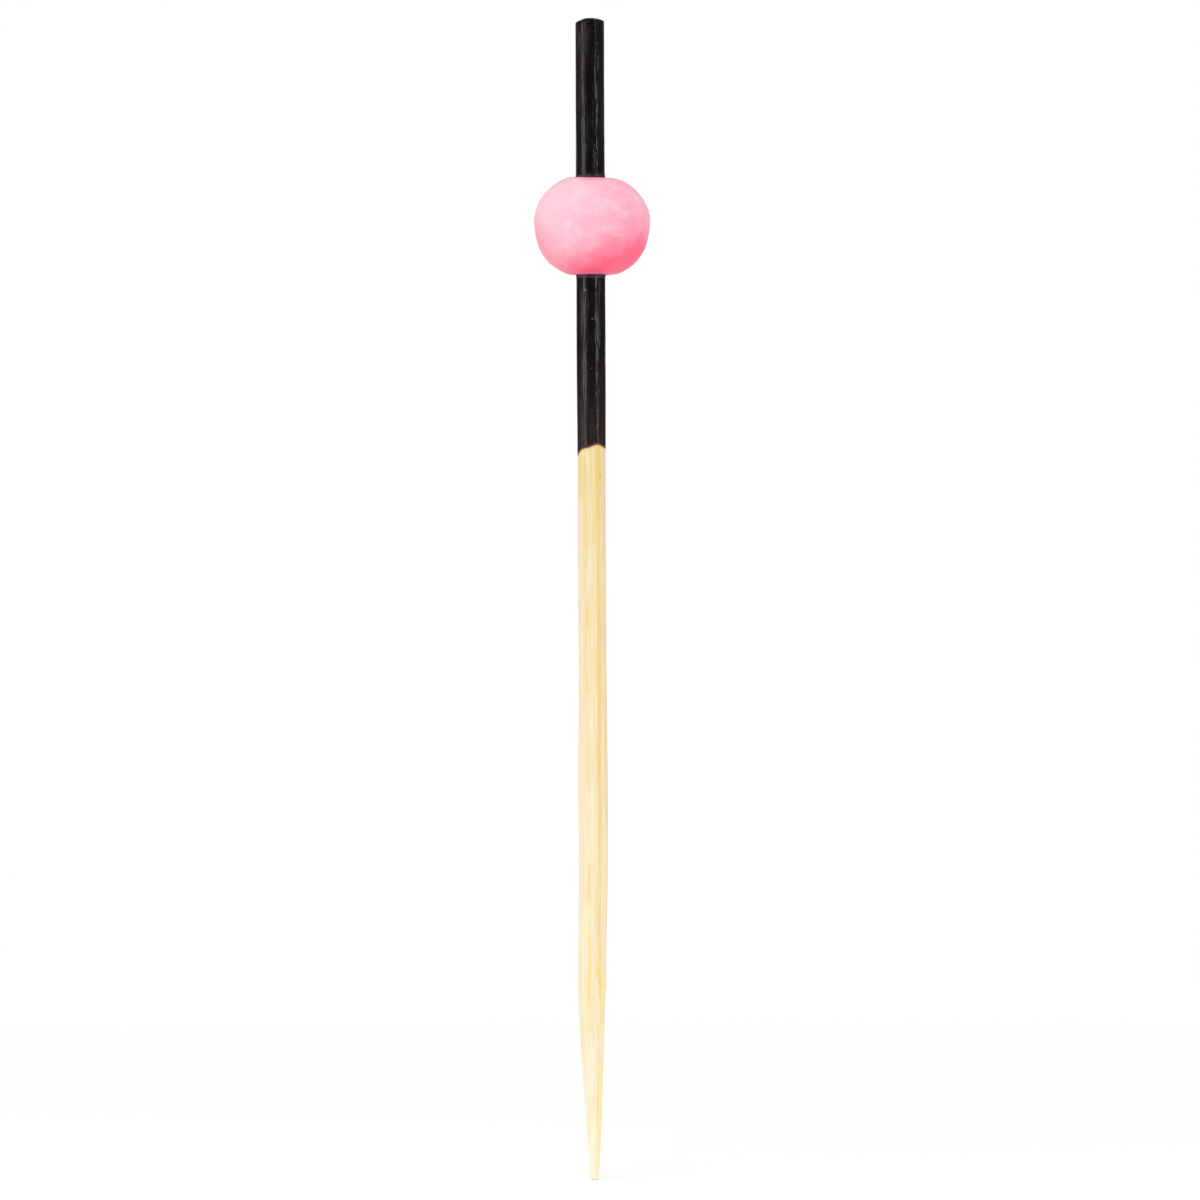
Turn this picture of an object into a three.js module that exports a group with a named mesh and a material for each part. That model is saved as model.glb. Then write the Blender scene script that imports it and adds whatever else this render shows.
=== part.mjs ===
// A ball cocktail pick: a sharpened split-bamboo stick whose head is dipped in black lacquer, with a
// turned wooden bead, painted pink, glued on a little below the top end.
// Millimetres, +Z up the stick, the tip at the origin, the front of the pick towards -Y.
import * as THREE from 'three';

const { clamp, degToRad, lerp, smoothstep } = THREE.MathUtils;

// Whole pick
const OVERALL_LENGTH = 120;

// Bamboo stick: its diameters are taken across the flats of its slightly squared section
const HEAD_DIAMETER = 2.73; // at the top end, under the lacquer
const FOOT_DIAMETER = 2.78; // at the tip's level, before sharpening
const SWELL_EXTRA = 0.18; // how much thicker the cane grew at its swell
const SWELL_HEIGHT = 38.6;
const SWELL_REACH = 9.4; // height over which the swell dies away
const CROOK = 0.2; // below its swell the cane bows off its axis by up to this much, towards -X
const CROOK_LENGTH = 35; // height at which that bow starts; it ends at the tip
const SQUARENESS = 2.25; // power of the section's superellipse: 2 is round
const SECTION_BEARING = degToRad(-62); // where one flat of the section faces at the tip's level
const SECTION_TWIST = degToRad(16); // how far the section turns from tip to head

// Top end: sawn, then tumbled, so that it falls from a level middle to a low edge all round
const HEAD_FLAT_DIAMETER = 0.9; // of the level middle
const HEAD_DROP = 0.39; // from the level middle down to the edge
const HEAD_FULLNESS = 1.6; // 1 is a straight chamfer, more bellies upwards
const HEAD_TILT = 0.08; // it was sawn aslant, so the edge falls and climbs by this much
const HEAD_LOW_BEARING = degToRad(180);
const TILT_BLEND = 3; // height below the edge over which that tilt fades out
const RIM_ROUND = 0.08; // rounding of the edge

// Sharpened end
const TAPER_LENGTH = 20.4;
const TAPER_FULLNESS = 1.25; // 1 is a straight cone, more bellies outwards
const TIP_DIAMETER = 0.86;
const TIP_ROUND = 0.28; // height of the blunt tip's dome
// Flats that the grinding belt leaves: the way each faces, where it starts above the tip, how deep
// it cuts at the tip, as a share of the radius there, and its onset: the power with which the cut
// deepens towards the tip, so less than 1 gives a flat that starts with a step
const GROUND_FLATS = [
  { bearing: degToRad(-112), start: 18, depth: 0.12, onset: 1.6 },
  { bearing: degToRad(-30), start: 12.1, depth: 0.27, onset: 0.14 },
  { bearing: degToRad(48), start: 16, depth: 0.13, onset: 1.6 },
  { bearing: degToRad(152), start: 14, depth: 0.12, onset: 1.6 },
];

// Films: each lies over the piece below it with a hair of space, so that they stay two surfaces
const FILM_GAP = 0.02;

// Black lacquer over the head
const LACQUER_LENGTH = 44.8; // from the top end down to the middle of the dip line
const LACQUER_THICKNESS = 0.05;
const DIP_RISE = 0.7; // the stick was dipped aslant, so the line climbs and falls by this much
const DIP_HIGH_BEARING = degToRad(-64);
const DIP_RIPPLE = 0.07; // small runs along the line, with a crest at its highest point
const DIP_RIPPLE_COUNT = 5;
const LACQUER_EDGE_THICKNESS = 0.025; // the film drained thin towards the dip line
const THIN_REACH = 8; // height above the line over which it thickens

// Turned wooden bead and its paint: these sizes are over the paint
const BEAD_DIAMETER = 11.9;
const BEAD_DROP = 20.95; // from the stick's top end down to the bead's widest level
// Above and below that level the bead is half a superellipse: its height and its power, of which
// 2 gives a plain spheroid and more gives fuller shoulders. Its turned ends sink in towards the
// bore, by dimple at the mouth and less within reach of it.
const BEAD_UPPER = { height: 4.96, fullness: 1.98, dimple: 0.31, reach: 0.8 };
const BEAD_LOWER = { height: 5.79, fullness: 2.37, dimple: 0.14, reach: 0.4 };
const BEAD_LEAN = degToRad(2.9); // the bore was drilled askew, so the bead leans towards +X
const BEAD_OFFSET = 0.18; // and off centre, towards +X
const LEAN_REACH = 1.6; // distance outside the mouth over which the lean takes full effect
const MOUTH_CHAMFER = 0.05; // the bore's edges are eased at both ends
const PAINT_THICKNESS = 0.06;

// Glue between the bore and the lacquered stick, squeezed out at both mouths
const GLUE_WALL = 0.04; // at the corners of the stick's section, where the glue is thinnest
const FILLET_HEIGHT = 0.42; // how far the glue climbs the stick outside the bead's wood
const FILLET_EDGE = 0.03; // thickness at which the glue's thin edge ends

// How finely the curves are drawn
const SIDES = 40;
const SHANK_STEP = 6;
const TAPER_STEPS = 13;
const ROUND_STEPS = 5;
const THIN_STEP = 1.6; // between rows where the film thins
const BEAD_STEPS = 11; // in each half
const FILLET_STEPS = 4;
const DIP_BLEND = 5; // height over which the dip line's slant fades out of the film above it

const STICK_LENGTH = OVERALL_LENGTH - LACQUER_THICKNESS - FILM_GAP;
const FILM_REACH = FILM_GAP + LACQUER_THICKNESS; // from the bamboo to the lacquer's outside
const DIP_LINE = OVERALL_LENGTH - LACQUER_LENGTH;
const BEAD_LEVEL = OVERALL_LENGTH - BEAD_DROP;
const HEAD_FLAT = HEAD_FLAT_DIAMETER / 2;
const HEAD_FOOT = STICK_LENGTH - HEAD_DROP - RIM_ROUND; // where the straight side of the stick ends

// Section of the cane: a superellipse as a factor on the radius across its flats.
function sectionFactor(angle, height) {
  const turned = angle - SECTION_BEARING - SECTION_TWIST * (height / OVERALL_LENGTH);
  const across = Math.abs(Math.cos(turned)) ** SQUARENESS;
  const along = Math.abs(Math.sin(turned)) ** SQUARENESS;
  return (across + along) ** (-1 / SQUARENESS);
}

const CORNER_FACTOR = 2 ** (0.5 - 1 / SQUARENESS); // the section's reach at its corners

// Radius of the stick across its flats at a height above the tip, without the tip's dome.
function stickRadius(height) {
  const grown = lerp(FOOT_DIAMETER, HEAD_DIAMETER, height / OVERALL_LENGTH) / 2;
  const swell = (SWELL_EXTRA / 2) * Math.exp(-(((height - SWELL_HEIGHT) / SWELL_REACH) ** 2));
  const shank = grown + swell;
  if (height >= TAPER_LENGTH) return shank;
  const ground = 1 - (1 - height / TAPER_LENGTH) ** TAPER_FULLNESS;
  return lerp(TIP_DIAMETER / 2, shank, ground);
}

// Factor that the ground flats leave at a height: each caps the reach in the way that it faces.
function groundFactor(angle, height) {
  return GROUND_FLATS.reduce((least, { bearing, start, depth, onset }) => {
    const facing = Math.cos(angle - bearing);
    if (height >= start || facing <= 0) return least;
    const cut = depth * (1 - height / start) ** onset;
    return Math.min(least, (CORNER_FACTOR - cut) / facing);
  }, CORNER_FACTOR);
}

// Height that the slant of the top end adds at a point, all of it at the end's edge.
function headTilt({ radius, angle, height }) {
  const outwards = clamp((radius - HEAD_FLAT) / (stickRadius(HEAD_FOOT) - HEAD_FLAT), 0, 1);
  const upwards = smoothstep(height, HEAD_FOOT - TILT_BLEND, HEAD_FOOT);
  return -HEAD_TILT * Math.cos(angle - HEAD_LOW_BEARING) * outwards * upwards;
}

// Moves a point of a round blank to where the cane's section, its flats and its crook put it.
function followCane(blank) {
  const { radius, angle, height } = blank;
  const reach = radius * Math.min(sectionFactor(angle, height), groundFactor(angle, height));
  const crook = CROOK * Math.sin(Math.PI * clamp(height / CROOK_LENGTH, 0, 1)) ** 2;
  const level = height + headTilt(blank);
  return new THREE.Vector3(reach * Math.cos(angle) - crook, reach * Math.sin(angle), level);
}

// A blank turned about +Z from a profile of (radius, height) points, with each point then moved.
function turnedAndMoved(profile, move) {
  const geometry = new THREE.LatheGeometry(profile, SIDES);
  geometry.rotateX(Math.PI / 2);
  const position = geometry.getAttribute('position');
  for (let i = 0; i < position.count; i += 1) {
    const x = position.getX(i);
    const y = position.getY(i);
    const blank = { radius: Math.hypot(x, y), angle: Math.atan2(y, x), height: position.getZ(i) };
    position.setXYZ(i, ...move(blank));
  }
  geometry.computeVertexNormals();
  return geometry;
}

// Heights from low to high in even steps no longer than step, both ends included.
function evenHeights(low, high, step) {
  const count = Math.max(1, Math.ceil((high - low) / step));
  return Array.from({ length: count + 1 }, (_, i) => lerp(low, high, i / count));
}

// The stick's top end, from under its edge in to the axis, grown outwards by film.
function headProfile(film) {
  const rim = stickRadius(HEAD_FOOT) + film;
  const top = STICK_LENGTH + film;
  const points = [new THREE.Vector2(rim, HEAD_FOOT + film)];
  for (let i = 0; i <= ROUND_STEPS; i += 1) {
    const radius = lerp(rim - RIM_ROUND, HEAD_FLAT, i / ROUND_STEPS);
    const share = (radius - HEAD_FLAT) / (rim - HEAD_FLAT);
    points.push(new THREE.Vector2(radius, top - HEAD_DROP * share ** HEAD_FULLNESS));
  }
  points.push(new THREE.Vector2(0, top));
  return points;
}

function bambooStick() {
  const profile = [new THREE.Vector2(0, 0)];
  const domeTop = stickRadius(TIP_ROUND);
  const domeFlat = domeTop - TIP_ROUND;
  for (let i = 0; i < ROUND_STEPS; i += 1) {
    const turn = (i / ROUND_STEPS) * (Math.PI / 2);
    profile.push(
      new THREE.Vector2(domeFlat + TIP_ROUND * Math.sin(turn), TIP_ROUND * (1 - Math.cos(turn))),
    );
  }
  const taper = evenHeights(TIP_ROUND, TAPER_LENGTH, (TAPER_LENGTH - TIP_ROUND) / TAPER_STEPS);
  const shank = evenHeights(TAPER_LENGTH, HEAD_FOOT, SHANK_STEP);
  for (const height of [...taper, ...shank.slice(1, -1)]) {
    profile.push(new THREE.Vector2(stickRadius(height), height));
  }
  profile.push(...headProfile(0));
  return turnedAndMoved(profile, followCane);
}

// Height that the slanted, rippled dip line adds at an angle and a height, fading out above it.
function dipShift(angle, height) {
  const slant = DIP_RISE * Math.cos(angle - DIP_HIGH_BEARING);
  const ripple = DIP_RIPPLE * Math.cos(DIP_RIPPLE_COUNT * (angle - DIP_HIGH_BEARING));
  return (slant + ripple) * (1 - smoothstep(height, DIP_LINE, DIP_LINE + DIP_BLEND));
}

// Thickness of the lacquer at a height above the tip.
function lacquerThickness(height) {
  const full = smoothstep(height, DIP_LINE, DIP_LINE + THIN_REACH);
  return lerp(LACQUER_EDGE_THICKNESS, LACQUER_THICKNESS, full);
}

// A thin cup: from under the top end down the inside to the dip line, then up outside and over.
function blackLacquerCoat() {
  const thinning = evenHeights(DIP_LINE, DIP_LINE + THIN_REACH, THIN_STEP);
  const full = evenHeights(DIP_LINE + THIN_REACH, HEAD_FOOT, SHANK_STEP);
  const heights = [...thinning, ...full.slice(1, -1)];
  const inside = heights.map((height) => new THREE.Vector2(stickRadius(height) + FILM_GAP, height));
  const outside = inside.map(
    (point) => new THREE.Vector2(point.x + lacquerThickness(point.y), point.y),
  );
  const profile = [
    ...headProfile(FILM_GAP).reverse(),
    ...inside.reverse(),
    ...outside,
    ...headProfile(FILM_REACH),
  ];
  return turnedAndMoved(profile, ({ radius, angle, height }) =>
    followCane({ radius, angle, height: height + dipShift(angle, height) }),
  );
}

// The bore clears the corners of the lacquered stick by the glue's wall.
const GLUE_INNER = stickRadius(BEAD_LEVEL) + FILM_REACH + FILM_GAP;
const BORE_RADIUS = GLUE_INNER * CORNER_FACTOR + GLUE_WALL + FILM_GAP;
const MOUTH_RADIUS = BORE_RADIUS + MOUTH_CHAMFER;
const WOOD_INSET = PAINT_THICKNESS + FILM_GAP; // from the paint's outside to the bead's wood

// Height of the bead's outline above or below its widest level at a radius, for a bead that is
// smaller by inset all round.
function beadReach({ height, fullness, dimple, reach }, radius, inset) {
  const share = (radius / (BEAD_DIAMETER / 2 - inset)) ** fullness;
  const sunk = dimple * Math.exp(-(((radius - MOUTH_RADIUS) / reach) ** 2));
  return (height - inset) * (1 - share) ** (1 / fullness) - sunk;
}

// One half of the bead's outline, from its mouth out to its widest level.
function beadHalf(half, inset) {
  const wide = BEAD_DIAMETER / 2 - inset;
  const first = Math.asin(MOUTH_RADIUS / wide);
  return Array.from({ length: BEAD_STEPS + 1 }, (_, i) => {
    const radius = wide * Math.sin(lerp(first, Math.PI / 2, i / BEAD_STEPS));
    return new THREE.Vector2(radius, beadReach(half, radius, inset));
  });
}

// The bead's outline from its lower mouth round to its upper one, about its widest level.
function beadOutline(inset) {
  const lower = beadHalf(BEAD_LOWER, inset).map((point) => new THREE.Vector2(point.x, -point.y));
  const upper = beadHalf(BEAD_UPPER, inset).reverse();
  return [...lower, ...upper.slice(1)];
}

// The outside of the bead leans and stands off centre, while its bore stays true to the stick.
function placeBead({ radius, angle, height }) {
  const share = smoothstep(radius, MOUTH_RADIUS, MOUTH_RADIUS + LEAN_REACH);
  const point = new THREE.Vector3(radius * Math.cos(angle), radius * Math.sin(angle), height);
  point.applyAxisAngle(new THREE.Vector3(0, 1, 0), BEAD_LEAN * share);
  return point.add(new THREE.Vector3(BEAD_OFFSET * share, 0, BEAD_LEVEL));
}

function woodenBead() {
  const outline = beadOutline(WOOD_INSET);
  const upperEnd = beadReach(BEAD_UPPER, MOUTH_RADIUS, WOOD_INSET) - MOUTH_CHAMFER;
  const lowerEnd = beadReach(BEAD_LOWER, MOUTH_RADIUS, WOOD_INSET) - MOUTH_CHAMFER;
  return turnedAndMoved(
    [
      ...outline,
      new THREE.Vector2(BORE_RADIUS, upperEnd),
      new THREE.Vector2(BORE_RADIUS, -lowerEnd),
      outline[0].clone(),
    ],
    placeBead,
  );
}

function pinkPaintCoat() {
  const outside = beadOutline(0);
  const inside = beadOutline(PAINT_THICKNESS).reverse();
  return turnedAndMoved([...outside, ...inside, outside[0].clone()], placeBead);
}

// The glue at one end of the bore: past its eased edge to its mouth, then a hollow fillet in to a
// thin edge on the stick. Heights are from the bead's widest level.
function glueEnd(half) {
  const mouth = beadReach(half, MOUTH_RADIUS, WOOD_INSET);
  const lip = MOUTH_RADIUS - FILM_GAP;
  const edge = GLUE_INNER + FILLET_EDGE;
  const points = [new THREE.Vector2(BORE_RADIUS - FILM_GAP, mouth - MOUTH_CHAMFER)];
  for (let i = 0; i <= FILLET_STEPS; i += 1) {
    const turn = (i / FILLET_STEPS) * (Math.PI / 2);
    const climb = FILLET_HEIGHT * (1 - Math.cos(turn));
    points.push(new THREE.Vector2(lip - (lip - edge) * Math.sin(turn), mouth + climb));
  }
  points.push(new THREE.Vector2(GLUE_INNER, mouth + FILLET_HEIGHT));
  return points;
}

// The inside of the glue follows the section of the stick, and its outside is as round as the bore.
function placeGlue({ radius, angle, height }) {
  const share = 1 - smoothstep(radius, GLUE_INNER, BORE_RADIUS - FILM_GAP);
  const reach = radius * lerp(1, sectionFactor(angle, height + BEAD_LEVEL), share);
  return new THREE.Vector3(reach * Math.cos(angle), reach * Math.sin(angle), height + BEAD_LEVEL);
}

function glueSleeve() {
  const upper = glueEnd(BEAD_UPPER);
  const lower = glueEnd(BEAD_LOWER).map((point) => new THREE.Vector2(point.x, -point.y));
  return turnedAndMoved([...upper, ...lower.reverse(), upper[0].clone()], placeGlue);
}

function piece(name, geometry, look) {
  const mesh = new THREE.Mesh(geometry, new THREE.MeshStandardMaterial({ metalness: 0, ...look }));
  mesh.name = name;
  return mesh;
}

const pick = new THREE.Group();
pick.name = 'ball_cocktail_pick';
pick.add(
  piece('bamboo_stick', bambooStick(), { color: '#f3e2b4', roughness: 0.6 }),
  piece('black_lacquer_coat', blackLacquerCoat(), { color: '#141212', roughness: 0.25 }),
  piece('wooden_bead', woodenBead(), { color: '#e2c79a', roughness: 0.7 }),
  piece('pink_paint_coat', pinkPaintCoat(), { color: '#ff9fb8', roughness: 0.4 }),
  piece('glue_sleeve', glueSleeve(), { color: '#4a3c4e', roughness: 0.3 }),
);

export default pick;
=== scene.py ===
"""Looks of a ball cocktail pick: a sharpened bamboo stick with a head dipped in black lacquer and a
turned wooden bead, painted pink, glued on below its top end.

The pick stands on its point at the origin, +Z up the stick, its front towards -Y. The sizes below
are in millimetres and are those of the solids; MM turns them to metres where a mesh is made.
"""

import math
import random

import bpy
from mathutils import Matrix, Vector, noise


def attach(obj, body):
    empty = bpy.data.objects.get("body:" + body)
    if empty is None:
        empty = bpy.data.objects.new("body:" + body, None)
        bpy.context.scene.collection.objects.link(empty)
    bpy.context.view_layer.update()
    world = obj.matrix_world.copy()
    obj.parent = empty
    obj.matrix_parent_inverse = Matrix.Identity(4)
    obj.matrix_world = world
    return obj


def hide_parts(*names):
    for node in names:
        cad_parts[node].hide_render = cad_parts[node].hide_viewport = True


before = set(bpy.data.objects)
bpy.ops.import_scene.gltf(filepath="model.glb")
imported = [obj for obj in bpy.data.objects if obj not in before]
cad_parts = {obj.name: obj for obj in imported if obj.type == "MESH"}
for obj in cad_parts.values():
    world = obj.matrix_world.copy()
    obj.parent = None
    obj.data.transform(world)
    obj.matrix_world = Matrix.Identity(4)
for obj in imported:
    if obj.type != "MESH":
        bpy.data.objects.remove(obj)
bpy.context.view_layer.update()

MM = 0.001

# Whole pick
OVERALL_LENGTH = 120

# Bamboo stick: its diameters are across the flats of its slightly squared section
HEAD_DIAMETER = 2.73
FOOT_DIAMETER = 2.78
SWELL_EXTRA = 0.18
SWELL_HEIGHT = 38.6
SWELL_REACH = 9.4
CROOK = 0.2  # below its swell the cane bows off its axis by up to this much, towards -X
CROOK_LENGTH = 35
SQUARENESS = 2.25
SECTION_BEARING = math.radians(-62)
SECTION_TWIST = math.radians(16)

# Top end, level in its middle and falling to an edge all round
HEAD_FLAT_DIAMETER = 0.9
HEAD_DROP = 0.39
HEAD_FULLNESS = 1.6
HEAD_TILT = 0.08
HEAD_LOW_BEARING = math.radians(180)
TILT_BLEND = 3
RIM_ROUND = 0.08

# Sharpened end
TAPER_LENGTH = 20.4
TAPER_FULLNESS = 1.25
TIP_DIAMETER = 0.86
TIP_ROUND = 0.28
# Each flat that the belt ground: the way it faces, where it starts, how deep it cuts at the tip and
# the power with which it deepens. The last one lays the yellow rind of the cane bare.
GROUND_FLATS = [
    (math.radians(-112), 18, 0.12, 1.6),
    (math.radians(48), 16, 0.13, 1.6),
    (math.radians(152), 14, 0.12, 1.6),
    (math.radians(-30), 12.1, 0.27, 0.14),
]

# Films over the wood
FILM_GAP = 0.02
LACQUER_LENGTH = 44.8
LACQUER_THICKNESS = 0.05
LACQUER_EDGE_THICKNESS = 0.025
THIN_REACH = 8
DIP_RISE = 0.7
DIP_HIGH_BEARING = math.radians(-64)
DIP_RIPPLE = 0.07
DIP_RIPPLE_COUNT = 5
DIP_BLEND = 5

# Bead, over its paint: of each half the height, the power of its superellipse, and the depth and
# reach of the dimple at its mouth
BEAD_DIAMETER = 11.9
BEAD_DROP = 20.95
BEAD_UPPER = (4.96, 1.98, 0.31, 0.8)
BEAD_LOWER = (5.79, 2.37, 0.14, 0.4)
BEAD_LEAN = math.radians(2.9)
BEAD_OFFSET = 0.18
LEAN_REACH = 1.6
MOUTH_CHAMFER = 0.05
PAINT_THICKNESS = 0.06

# Glue
GLUE_WALL = 0.04
FILLET_HEIGHT = 0.42
FILLET_EDGE = 0.03

# What follows from those sizes
STICK_LENGTH = OVERALL_LENGTH - LACQUER_THICKNESS - FILM_GAP
FILM_REACH = FILM_GAP + LACQUER_THICKNESS
DIP_LINE = OVERALL_LENGTH - LACQUER_LENGTH
BEAD_LEVEL = OVERALL_LENGTH - BEAD_DROP
HEAD_FLAT = HEAD_FLAT_DIAMETER / 2
HEAD_FOOT = STICK_LENGTH - HEAD_DROP - RIM_ROUND
CORNER_FACTOR = 2 ** (0.5 - 1 / SQUARENESS)
WOOD_INSET = PAINT_THICKNESS + FILM_GAP

# Fineness of the meshes
CANE_SIDES, CANE_ROWS = 160, 300
FILM_SIDES, FILM_ROWS = 144, 240
END_RINGS = 16
BEAD_SIDES, BEAD_STEPS = 224, 72
PAINT_BACK_STEPS = 24  # in each half of the paint's inside
GLUE_SIDES, GLUE_STEPS = 128, 12

# Relief that only the looks need
FIBRE_WIDTH, FIBRE_LENGTH = 0.32, 22  # of the ridges that fibres leave
CANE_RELIEF = 0.012
FILM_RELIEF = 0.016  # the film draws in between the fibres as it dries
DIP_WAVER = 0.05  # small wander of the dip line
DIP_WAVER_RATE = 6.0  # how quickly it turns, round the stick
GLUE_WAVER = 0.16  # share by which the fillet's climb rises and falls round the stick
GLUE_WAVER_RATE = 1.3
GLUE_END_SHIFT = 0.25  # sets the waver of the two ends apart
LUMP_WIDTH, LUMP_DEPTH = 2.8, 0.07  # broad lumps of the turned bead
DENT_WIDTH, DENT_DEPTH = 1.0, 0.035
RIPPLE_WIDTH, RIPPLE_DEPTH = 0.45, 0.01
DENT_SHIFT, RIPPLE_SHIFT = Vector((7.3, 1.9, 4.1)), Vector((2.7, 8.8, 5.2))  # set them apart
SANDED_FLATS, FLAT_SEED = 54, 3  # small soft flats from the sanding drum
FLAT_DEPTHS = (0.012, 0.06)
FLAT_SOFTNESS = 0.03
GRIT_BIAS = 3.0  # power that leaves few of the grains large

# Marks on the skin of the stick
SKIN_SWAY = 0.1  # how far they wander sideways with the fibres
MARK_SOFTNESS = 0.42  # of a mark's width, over which its sides fade
MARK_FADE = 2.5  # most of its length over which its ends fade

# The part of its range from 0 to 1 that a noise mostly keeps to, in the ridges and in the grains
RIDGE_SPREAD, GRAIN_SPREAD = (0.25, 0.75), (0.3, 0.7)
SIDE_ON = 0.001  # least cosine to a ground flat, past which it cuts nothing

MATH, VECTOR_MATH = "ShaderNodeMath", "ShaderNodeVectorMath"
PLUS, MINUS, TIMES, OVER = [(MATH, name) for name in ("ADD", "SUBTRACT", "MULTIPLY", "DIVIDE")]
TIMES_PLUS, POWER = (MATH, "MULTIPLY_ADD"), (MATH, "POWER")
SINE, COSINE = (MATH, "SINE"), (MATH, "COSINE")
COMBINE, SEPARATE = "ShaderNodeCombineXYZ", "ShaderNodeSeparateXYZ"
MIX = "ShaderNodeMix"
NOISE = "ShaderNodeTexNoise"
GROUP = "GeometryNodeGroup"
STORE = "GeometryNodeStoreNamedAttribute"
FLOAT = "NodeSocketFloat"
GEOMETRY = "NodeSocketGeometry"
MATERIAL = "NodeSocketMaterial"


def linear(hex_colour):
    """An sRGB hex colour as the linear colour that a shader takes."""
    channels = [int(hex_colour[i : i + 2], 16) / 255 for i in (1, 3, 5)]
    bright = [c / 12.92 if c <= 0.04045 else ((c + 0.055) / 1.055) ** 2.4 for c in channels]
    return (*bright, 1.0)


def add(tree, kind, inputs=(), out=None, **settings):
    """Adds a node with its settings, and values or links on its inputs, by name or in order. Its
    kind may come with its operation. Returns the output called out, or the first one in use."""
    if isinstance(kind, tuple):
        kind, settings["operation"] = kind
    node = tree.nodes.new(kind)
    for name, value in settings.items():
        setattr(node, name, value)
    named = inputs.items() if isinstance(inputs, dict) else enumerate(inputs)
    for key, value in named:
        if isinstance(key, str):
            key = next(i for i, s in enumerate(node.inputs) if s.name == key and s.enabled)
        if isinstance(value, bpy.types.NodeSocket):
            tree.links.new(value, node.inputs[key])
        else:
            node.inputs[key].default_value = value
    if out is not None:
        return node.outputs[out]
    return next((s for s in node.outputs if s.enabled), None)


def ramp(tree, value, start, full, low=0.0, high=1.0, kind="LINEAR"):
    """A value mapped from between start and full to between low and high, and kept there."""
    inputs = [value, start, full, low, high]
    return add(tree, "ShaderNodeMapRange", inputs, interpolation_type=kind)


def measure(tree, operation, *vectors):
    """A number taken from one or two vectors."""
    return add(tree, VECTOR_MATH, vectors, out="Value", operation=operation)


def in_scene(name, data):
    """A new object of a mesh, lamp or camera, in the scene."""
    thing = bpy.data.objects.new(name, data)
    bpy.context.scene.collection.objects.link(thing)
    return thing


def new_tree(name, takes, gives):
    """A geometry tree with named inputs, each a default value or a kind of socket, and named
    outputs. Returns it with the sockets its inputs arrive on and those that take its results."""
    tree = bpy.data.node_groups.new(name, "GeometryNodeTree")
    kinds = {float: FLOAT, int: "NodeSocketInt"}
    for label, value in takes.items():
        kind = value if isinstance(value, str) else kinds[type(value)]
        item = tree.interface.new_socket(label, in_out="INPUT", socket_type=kind)
        if not isinstance(value, str):
            item.default_value = value
    for label, kind in gives.items():
        tree.interface.new_socket(label, in_out="OUTPUT", socket_type=kind)
    given = tree.nodes.new("NodeGroupInput").outputs
    results = tree.nodes.new("NodeGroupOutput").inputs
    return tree, given, results


def grow(name, tree, given, base=None, wall=0):
    """Runs a geometry tree once with its named inputs, gives the result a wall, grown inwards,
    where one is asked for, and returns it as a piece of plain mesh."""
    piece = in_scene(name, base or bpy.data.meshes.new(name))
    maker = piece.modifiers.new(tree.name, "NODES")
    maker.node_group = tree
    for item in tree.interface.items_tree:
        if item.in_out == "INPUT" and item.name in given:
            maker[item.identifier] = given[item.name]
    if wall:
        shell = piece.modifiers.new("wall", "SOLIDIFY")
        shell.thickness = wall * MM
        shell.offset = -1
    graph = bpy.context.evaluated_depsgraph_get()
    made = bpy.data.meshes.new_from_object(
        piece.evaluated_get(graph), preserve_all_data_layers=True, depsgraph=graph
    )
    piece.modifiers.clear()
    piece.data = made
    made.name = name
    return piece


def lerp(a, b, share):
    """The value a share of the way from a to b."""
    return a + (b - a) * share


def smoothstep(value, low, high):
    """A smooth rise from 0, where a value is at low, to 1, where it is at high."""
    share = min(1, max(0, (value - low) / (high - low)))
    return share * share * (3 - 2 * share)


def section_factor(angle, height):
    """Reach of the cane's squared section at an angle and height, as a factor on its radius."""
    turned = angle - SECTION_BEARING - SECTION_TWIST * height / OVERALL_LENGTH
    across = abs(math.cos(turned)) ** SQUARENESS + abs(math.sin(turned)) ** SQUARENESS
    return across ** (-1 / SQUARENESS)


def shank_radius(height):
    """Radius of the stick across its flats, above its taper."""
    grown = lerp(FOOT_DIAMETER, HEAD_DIAMETER, height / OVERALL_LENGTH) / 2
    return grown + SWELL_EXTRA / 2 * math.exp(-(((height - SWELL_HEIGHT) / SWELL_REACH) ** 2))


GLUE_INNER = shank_radius(BEAD_LEVEL) + FILM_REACH + FILM_GAP
BORE_RADIUS = GLUE_INNER * CORNER_FACTOR + GLUE_WALL + FILM_GAP
MOUTH_RADIUS = BORE_RADIUS + MOUTH_CHAMFER

# The cane and its lacquer, each grown by a geometry tree from a round blank


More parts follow.
